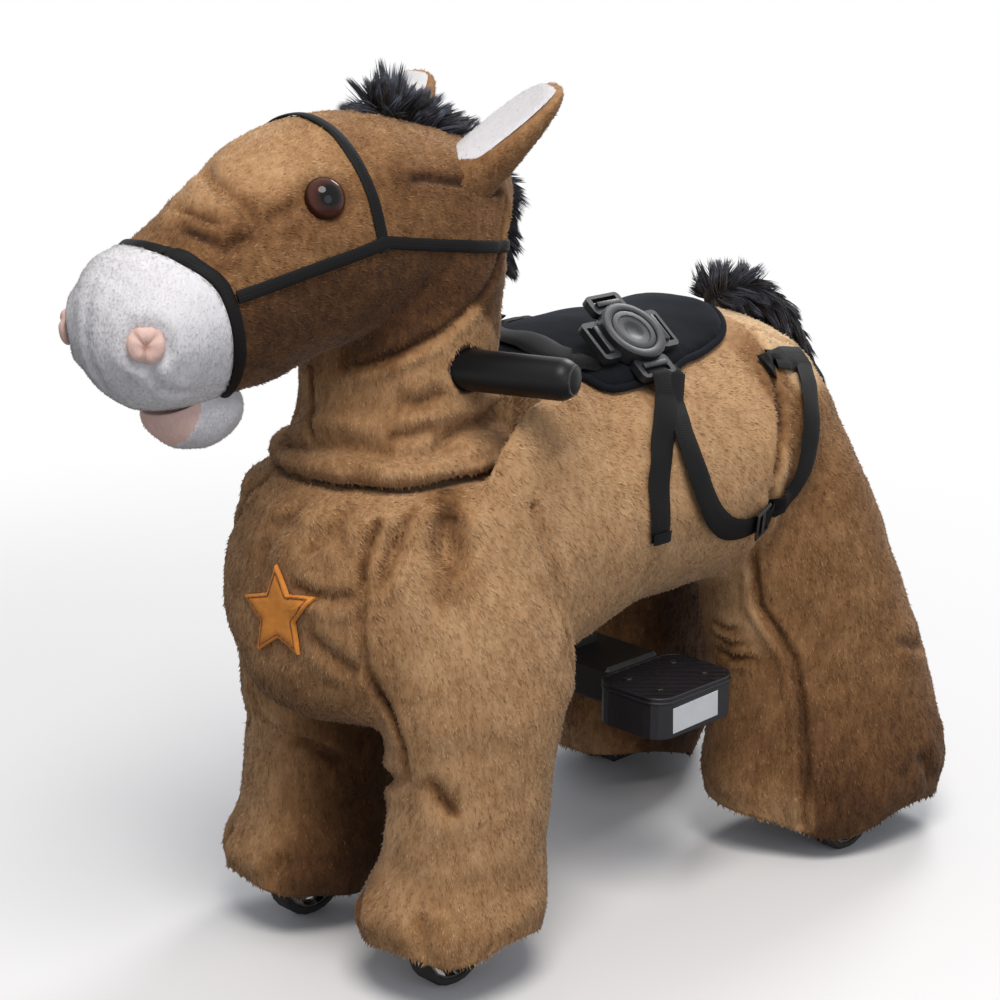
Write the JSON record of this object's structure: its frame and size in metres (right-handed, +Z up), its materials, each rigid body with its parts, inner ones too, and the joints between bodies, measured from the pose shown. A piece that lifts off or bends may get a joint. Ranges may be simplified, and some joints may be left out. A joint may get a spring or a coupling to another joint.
{
  "type": "kiddie ride machine",
  "caption": "Plush ride-on horse for small children: a steel chassis on small wheels, a head that steers, handlebar grips, footrests and a harness.",
  "frame": {"origin": "on the floor under the middle of the ride, between its nose and the back of its tail and hind legs", "axes": "+Z up, the horse faces -Y and its left side is +X"},
  "size_m": [0.3838, 0.7685, 0.6584],
  "materials": {
    "tan_plush": "short pile plush",
    "white_plush": "short pile plush",
    "black_fur": "long pile fur",
    "webbing": "woven nylon webbing",
    "saddle_fabric": "short velvet",
    "orange_felt": "felt",
    "eye": "polished",
    "foam_grip": "matt foam",
    "tyre": "smooth rubber",
    "chrome": "polished",
    "motor_metal": "satin",
    "gear_nylon": "natural nylon",
    "black_plastic": "fine textured",
    "black_steel": "black powder coat"
  },
  "bodies": {
    "root": {"battery": "black_plastic", "body_cover": "tan_plush", "buckle_housing": "black_plastic", "buckle_tongue_crotch": "black_plastic", "buckle_tongue_waist": "black_plastic", "drive_motor_l": "motor_metal", "drive_motor_r": "motor_metal", "flank_strap": "webbing", "footrest_beam": "black_steel", "footrest_shell_l": "black_plastic", "footrest_shell_r": "black_plastic", "footrest_tread_l": "black_plastic", "footrest_tread_r": "black_plastic", "front_beam": "black_steel", "front_leg_l": "black_steel", "front_leg_r": "black_steel", "gear_housing_l": "black_plastic", "gear_housing_r": "black_plastic", "head_tube": "black_steel", "loop_strap": "webbing", "motor_controller": "motor_metal", "rear_beam": "black_steel", "rear_leg_l": "black_steel", "rear_leg_r": "black_steel", "saddle_pad": "saddle_fabric", "seat_support": "black_steel", "shoulder_straps": "webbing", "spine_tube": "black_steel", "star_patch": "orange_felt", "strap_slider": "black_plastic", "tail": "black_fur"},
    "steering": {"steering_column": "black_steel", "handlebar": "black_steel", "grip_l": "foam_grip", "grip_r": "foam_grip", "head_cover": "tan_plush", "muzzle": "white_plush", "jaw": "white_plush", "mane": "black_fur", "bridle": "webbing", "ear_l": "tan_plush", "ear_r": "tan_plush", "eye_l": "eye", "eye_r": "eye"},
    "throttle": {"throttle_lever": "black_plastic"},
    "knuckle_l": {"steer_fork_l": "black_steel"},
    "knuckle_r": {"steer_fork_r": "black_steel"},
    "tie_bar": {"tie_bar": "black_steel"},
    "wheel_fl": {"rim_fl": "chrome", "tyre_fl": "tyre"},
    "wheel_fr": {"rim_fr": "chrome", "tyre_fr": "tyre"},
    "wheel_rl": {"rim_rl": "chrome", "tyre_rl": "tyre"},
    "wheel_rr": {"rim_rr": "chrome", "tyre_rr": "tyre"},
    "pinion_l": {"drive_pinion_l": "gear_nylon"},
    "pinion_r": {"drive_pinion_r": "gear_nylon"},
    "button": {"buckle_button": "black_plastic"}
  },
  "joints": [
    {"name": "steering_turn", "type": "hinge", "parent": "root", "child": "steering", "pos_m": [0, -0.115, 0.457], "axis": [0, 0, 1], "range_deg": [-25, 25]},
    {"name": "throttle_press", "type": "hinge", "parent": "steering", "child": "throttle", "pos_m": [-0.09583, -0.10269, 0.436], "axis": [0, 0, 1], "range_deg": [0, 14], "stiffness_Nm_per_rad": 0.05, "springref_deg": -5.73},
    {"name": "knuckle_l_turn", "type": "hinge", "parent": "root", "child": "knuckle_l", "pos_m": [0.081, -0.145, 0.2], "axis": [0, 0, 1], "range_deg": [-25, 25]},
    {"name": "knuckle_r_turn", "type": "hinge", "parent": "root", "child": "knuckle_r", "pos_m": [-0.081, -0.145, 0.2], "axis": [0, 0, 1], "range_deg": [-25, 25]},
    {"name": "tie_bar_turn", "type": "hinge", "parent": "knuckle_l", "child": "tie_bar", "pos_m": [0.081, -0.11, 0.2485], "axis": [0, 0, 1], "range_deg": [-25, 25]},
    {"name": "axle_fl", "type": "hinge", "parent": "knuckle_l", "child": "wheel_fl", "pos_m": [0.081, -0.145, 0.033], "axis": [1, 0, 0], "continuous": true},
    {"name": "axle_fr", "type": "hinge", "parent": "knuckle_r", "child": "wheel_fr", "pos_m": [-0.081, -0.145, 0.033], "axis": [1, 0, 0], "continuous": true},
    {"name": "axle_rl", "type": "hinge", "parent": "root", "child": "wheel_rl", "pos_m": [0.14, 0.252, 0.033], "axis": [1, 0, 0], "continuous": true},
    {"name": "axle_rr", "type": "hinge", "parent": "root", "child": "wheel_rr", "pos_m": [-0.14, 0.252, 0.033], "axis": [1, 0, 0], "continuous": true},
    {"name": "pinion_l_spin", "type": "hinge", "parent": "root", "child": "pinion_l", "pos_m": [0.108, 0.252, 0.0574], "axis": [1, 0, 0], "continuous": true},
    {"name": "pinion_r_spin", "type": "hinge", "parent": "root", "child": "pinion_r", "pos_m": [-0.108, 0.252, 0.0574], "axis": [1, 0, 0], "continuous": true},
    {"name": "button_press", "type": "slide", "parent": "root", "child": "button", "axis": [0.6293, 0, 0.7771], "range_m": [-0.0025, 0], "stiffness_N_per_m": 250, "springref_m": 0.0008}
  ],
  "couplings": [
    {"joint": "knuckle_l_turn", "follows": "steering_turn", "ratio": 1},
    {"joint": "knuckle_r_turn", "follows": "steering_turn", "ratio": 1},
    {"joint": "tie_bar_turn", "follows": "steering_turn", "ratio": -1},
    {"joint": "pinion_l_spin", "follows": "axle_rl", "ratio": -3},
    {"joint": "pinion_r_spin", "follows": "axle_rr", "ratio": -3}
  ]
}
